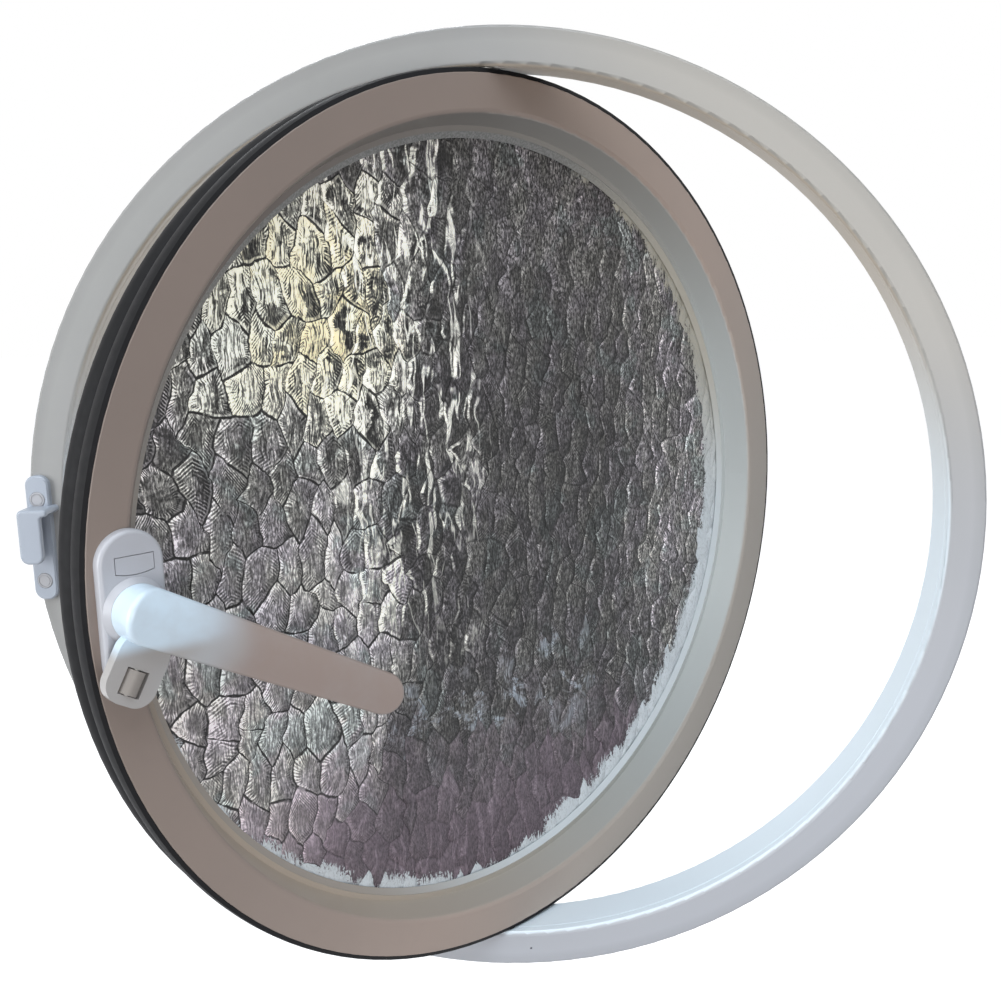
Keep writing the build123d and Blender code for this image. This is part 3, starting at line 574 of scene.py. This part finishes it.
def relief_glass(kit):
    def map_of(name):
        return kit.parts(kit.node("ShaderNodeUVMap", 0, uv_map=name))

    along, _, high = kit.parts(local(kit))
    u, v = along * 1000.0 + 5.38, high * 1000.0
    arc, run, _ = map_of("pebble_edge")
    dx, dy, _ = map_of("pebble_offset")
    lot = kit.parts(kit.node("ShaderNodeAttribute", 1, attribute_name="pebble_pick"))
    flat = kit.xyz(u, v)

    # What a point shows, as painted light: the tones behind the pane, thrown off to the far side of its pebble
    wobble = kit.parts(kit.noise(flat, 0.05, 2.0, 0.5, 1))
    jitter = kit.parts(kit.noise(flat, 0.45, 1.0, 0.5, 1))
    su = u - dx * 1.5 + (lot[0] - 0.5) * 24 + (wobble[0] - 0.5) * 26 + (jitter[0] - 0.5) * 5
    sv = v - dy * 1.2 + (lot[1] - 0.5) * 24 + (wobble[1] - 0.5) * 26 + (jitter[1] - 0.5) * 8
    veil = kit.noise(kit.xyz(su / 5.0, sv / 24.0), 1.0, 2.0, 0.6).step(0.34, 0.66)
    crumple = kit.noise(kit.xyz(u / 1.0, v / 2.4), 1.0, 2.0, 0.65, 0, 0.4).step(0.34, 0.66)
    sway = kit.parts(kit.noise(flat, 0.02, 2.0, 0.5, 1))
    a = su * 0.7 + u * 0.3 + (sway[0] - 0.5) * 44
    b = sv * 0.7 + v * 0.3 + (sway[1] - 0.5) * 44

    def patch(u_from, u_to, v_from, v_to, soft):
        across_u = a.step(u_from - soft, u_from + soft) * (1 - a.step(u_to - soft, u_to + soft))
        return across_u * b.step(v_from - soft, v_from + soft) * (1 - b.step(v_to - soft, v_to + soft))

    # Painted patches of light and shade: the lit, core, lower left, right and upper patches brighten the tone,
    # the band and gloom darken it, dusk adds contrast, and the foot is dim.
    lit = patch(-170, -56, 30, 185, 34) * (b + (a + 75) * 0.4).step(-15, 95)
    core = patch(-125, -62, 82, 156, 30)
    hazy_light = (1 - (a - (b + 80).fn("MINIMUM", 0.0) * 0.5).step(-84, -36)) * (1 - b.step(-34, 62))
    foot = 1 - b.step(-168, -96)
    dusk = (1 - a.step(-185, -140)) * b.step(0, 40)
    band = a.step(-105, -72) * (1 - a.step(-22, 16)) * b.step(-90, -40)
    gloom = a.step(60, 100) * (1 - a.step(140, 175)) * (1 - b.step(-105, -70))
    right = a.step(85, 185)
    upper = b.step(80, 175) * a.step(-25, 25)
    coarse = upper * (1 - right)
    tone = 0.076 + lit * 0.31 + core * 0.28 + hazy_light * 0.33 + right * 0.14 + upper * 0.06
    tone = tone - band * 0.012 - gloom * 0.03
    tone = tone * (1 - foot) + foot * (0.135 + hazy_light * 0.14)
    swing = (0.30 + lit * 0.28 + band * 0.30 + dusk * 0.35 - hazy_light * 0.06) * (1 - foot * 0.6)
    spoke = kit.noise(kit.xyz(arc / 0.95, run * 1.3 + lot[0] * 40), 1.0, 2.0, 0.6).step(0.34, 0.66)
    within = kit.xyz((u + dx * 0.4 + lot[0] * 60 + wobble[0] * 14) / 1.1, (v + lot[1] * 60) / 13.0)
    thread = kit.noise(within, 1.0, 2.0, 0.6).step(0.38, 0.62)
    outer = run.step(0.55, 0.85)
    strand = spoke * outer + thread * (1 - outer)
    # Painted light and shade of the fine relief, modulating the tone.
    grain_and_painted_light = (1 + (veil - 0.5) * 2 * swing) * (1 + (crumple - 0.5) * (1.15 + coarse * 0.3 - hazy_light * 0.6 - lit * 0.6) * (1 - foot * 0.6))
    grain_and_painted_light = grain_and_painted_light * (1 + (strand - 0.5) * (0.70 + lit * 0.75) * (1 - foot * 0.7))

    # Ribs: fans of fine lines round each outline, and chevrons on other pebbles, painted as light and dark lines
    # in the tone, with bright painted highlight lines, and bumped
    shake = kit.noise(flat, 0.16, 2.0, 0.6) * 8.0
    fan = (arc * (6.283 / 1.75) + shake).fn("SINE")
    slant = (dy + dx.fn("ABSOLUTE") * ((lot[2] - 0.5) * 3.0)) * (6.283 / 1.8)
    chevron = (slant + shake).fn("SINE")
    choice = lot[2].step(0.62, 0.66)
    rib = fan * (1 - choice) * run.step(0.55, 0.85) + chevron * choice * run.step(0.3, 0.7)
    spell = kit.noise(flat, 0.075, 3.0, 0.6, 0).step(0.38, 0.52)
    rib = rib * (1 - run.step(0.93, 0.99)) * spell * (1 - upper * 0.6)
    ribbing = (0.28 + lit * 0.42 + hazy_light * 0.18 + dusk * 0.7) * (1 - foot * 0.7)
    grain_and_painted_light = grain_and_painted_light * (1 + rib * ribbing)
    tone = tone * grain_and_painted_light.fn("MAXIMUM", 0.0) ** (1.6 + lit * 0.7 - foot * 0.3)
    rib_highlight = rib.step(0.45, 0.9) * (hazy_light * 0.10 + lit * 0.25 + dusk * 0.34 + 0.035) * (1 - foot)
    tone = tone + rib_highlight

    # Flanks: painted light and shade, one side of each pebble painted bright and the other dark, as if lit from
    # the left
    length = (dx * dx + dy * dy + 0.01).fn("SQRT")
    face = (dy * 0.35 - dx * 0.95) / length
    upright = (dx / length).fn("ABSOLUTE").step(0.5, 0.8)
    calm = foot * (1 - hazy_light * 0.6)
    flank = run.step(0.50, 0.97)
    bright = face.fn("MAXIMUM", 0.0) * flank
    dark = (0 - face).fn("MAXIMUM", 0.0) * flank
    broken = kit.noise(flat, 0.06, 3.0, 0.6)
    patchy = kit.noise(flat, 0.16, 2.0, 0.6)
    # Painted highlights: bright strokes on upright flanks, winding streamers, and bright lines just inside each
    # outline.
    stroke = face.step(0.1, 0.6) * upright * broken.step(0.42, 0.50) * run.step(0.76, 0.84)
    winding = kit.noise(kit.xyz((u + wobble[1] * 10) / 10.0, v / 70.0, 3.0), 1.0, 2.0, 0.45)
    streamer = (1 - (winding - 0.5).fn("ABSOLUTE").step(0.008, 0.028)) * broken.step(0.40, 0.50)
    edge = patchy.step(0.38, 0.48) * run.step(0.80, 0.87) * (1 - run.step(0.94, 0.97)) * (0.4 + spoke * 0.8)
    tone = tone * (1 - dark * (1.0 - calm * 0.9) * (1 - coarse * 0.6)) * (1 + bright * (0.9 - coarse * 0.6 - calm * 0.7))
    glow = band * b.step(-60, 60, 0.35, 0.75) + lit * 0.45 + a.step(30, 120) * 0.16 + right * 0.08 + 0.06
    tone = tone + stroke * glow * (0.55 + spoke * 0.9) * (1 - foot * 0.7) * (1 - coarse * 0.6)
    tone = tone + edge * (lit * 0.75 + hazy_light * 0.26 + dusk * 0.24 + right * 0.12 + 0.03) * (1 - foot * 0.7)
    tone = tone + streamer * (band * b.step(-60, 60, 0.30, 0.80) + foot * 0.10 + lit * 0.25) * (0.5 + spoke)
    # Painted shade: the grooves between pebbles are darkened, except where a bright stroke crosses the band.
    crease_shade = run.step(0.925, 0.97) * (0.97 - calm * 0.8 - coarse * 0.3) * (1 - (1 - upright) * a.step(-70, -10) * 0.5) * patchy.step(0.30 + coarse * 0.12, 0.44, 0.35, 1.0)
    tone = (tone * (1 - crease_shade * (1 - stroke * band))).fn("MAXIMUM", 0.004)

    # Colours, also painted light: yellow and grey-green where lit, plum at the foot, cold scraps of painted sky
    # reflection above it
    warm = core * kit.noise(kit.xyz(su / 12.0, sv / 26.0), 1.0, 1.0).step(0.22, 0.58) * tone.step(0.05, 0.4)
    drift = kit.noise(kit.xyz(u / 16.0, v / 30.0, 5.0), 1.0, 2.0).step(0.36, 0.64)
    green_cast = kit.noise(flat, 0.03, 3.0, 0.6, 0, 0.5)
    hue = kit.mix(drift, (1.0, 0.92, 0.97), (0.99, 0.955, 0.89))
    hue = kit.mix(green_cast.step(0.54, 0.62) * 0.8, hue, (0.90, 0.98, 0.95))
    hue = kit.mix(lit, hue, (0.97, 0.97, 0.84))
    hue = kit.mix(warm, hue, (1.0, 0.88, 0.54))
    hue = kit.mix(foot, hue, (1.0, 0.78, 0.92))
    hue = kit.mix((stroke + streamer).step(0.1, 0.9) * band, hue, (1.0, 0.98, 0.88))
    cloud = kit.noise(flat, 0.05, 5.0, 0.75, 0, 0.6).step(0.50, 0.62)
    scraps = patch(-75, 88, -118, -84, 16) * cloud
    hue = kit.mix(scraps, hue, (0.80, 0.89, 1.0))
    tone = tone * (1 - scraps * 0.6) + scraps * (0.10 + strand * 0.5)
    # Painted glints: the brightest tones also glow by emission, though the pane is no lamp.
    spark = (tone - 0.55).fn("MAXIMUM", 0.0).fn("MINIMUM", 1.0)
    glass = tinted(kit, tone.fn("MINIMUM", 1.0), hue)

    # The white bed behind the pane, painted on it as seen through it, which the pebbles tear into a ragged rim:
    # shown only on the right and at the bottom, cold white low down and cream higher up, as painted light
    radius = (u * u + v * v).fn("SQRT")
    toward = ((u * 0.94 - v * 0.342) / radius).fn("MAXIMUM", 0.0)
    low = ((0 - u) * 0.5 - v * 0.866) / radius
    tooth = (dx * u + dy * v) / radius
    thrown = radius - tooth * 0.25 + (veil - 0.5) * 3.5 + (strand - 0.5) * 3.0 + (crumple - 0.5) * 2.5
    limit = 201.0 - toward * 14.5 - low.step(0.9, 1.0) * 7.0
    rim = (thrown - limit).step(-0.5, 0.8) * (toward + low.step(0.75, 0.9)).step(0.0, 0.1)
    bed = kit.mix((v + u * 0.3).step(20, 150), (0.72, 0.77, 0.80), (0.52, 0.49, 0.41))
    bed = kit.mix((crumple - 0.6).step(0.0, 0.4) * 0.4, bed, (0.40, 0.42, 0.43))
    return kit.node(
        "ShaderNodeBsdfPrincipled", 0, in_Base_Color=kit.mix(rim, glass, bed), in_Roughness=0.18,
        in_Specular_IOR_Level=0.3, in_Emission_Color=tinted(kit, spark * (1 - rim), hue),
        in_Emission_Strength=0.36,
        in_Normal=kit.bump(rib * 0.5 + crumple * 0.6 + strand * 0.4, 0.4, 0.0006),
    )


pane_shape.materials.append(material("relief_glass", relief_glass))
